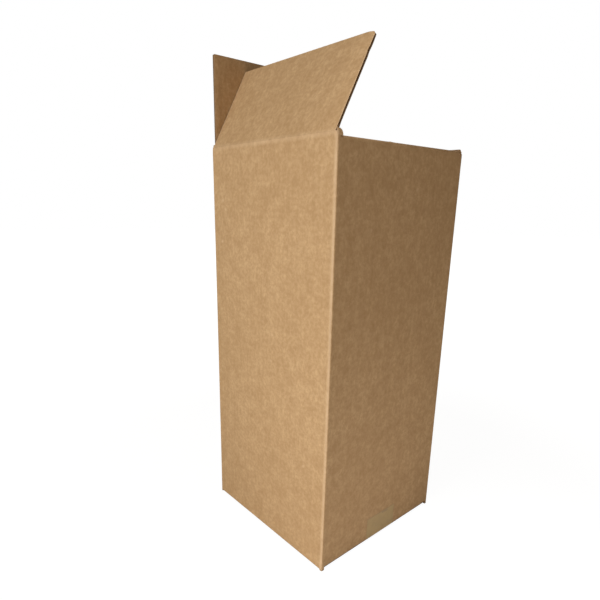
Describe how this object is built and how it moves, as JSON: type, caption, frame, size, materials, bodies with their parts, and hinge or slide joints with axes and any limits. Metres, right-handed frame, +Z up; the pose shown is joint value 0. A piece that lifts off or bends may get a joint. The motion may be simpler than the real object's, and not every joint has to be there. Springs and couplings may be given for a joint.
{
  "type": "shipping box",
  "caption": "Tall slotted carton of corrugated kraft board, its base taped shut and its top open, with hinged top flaps.",
  "frame": {"origin": "middle of the base, on the surface that the carton stands on", "axes": "+Z up along the carton's height, +X to the right along the front wall, +Y towards the back wall"},
  "size_m": [0.1844, 0.1875, 0.5027],
  "materials": {
    "kraft_board": "matte",
    "clear_tape": "gloss"
  },
  "bodies": {
    "carton": {"carton_body": "kraft_board", "bottom_tape": "clear_tape"},
    "front_flap": {"front_flap": "kraft_board"},
    "left_flap": {"left_flap": "kraft_board"},
    "back_flap": {"back_flap": "kraft_board"}
  },
  "joints": [
    {"name": "front_flap_hinge", "type": "hinge", "parent": "carton", "child": "front_flap", "pos_m": [0, -0.0909, 0.4136], "axis": [1, 0, 0], "range_deg": [-61.2, 206.3]},
    {"name": "left_flap_hinge", "type": "hinge", "parent": "carton", "child": "left_flap", "pos_m": [-0.09215, 0, 0.4108], "axis": [0, -1, 0], "range_deg": [0, 178]},
    {"name": "back_flap_hinge", "type": "hinge", "parent": "carton", "child": "back_flap", "pos_m": [0, 0.0909, 0.4136], "axis": [1, 0, 0], "range_deg": [0, 267.5]}
  ]
}
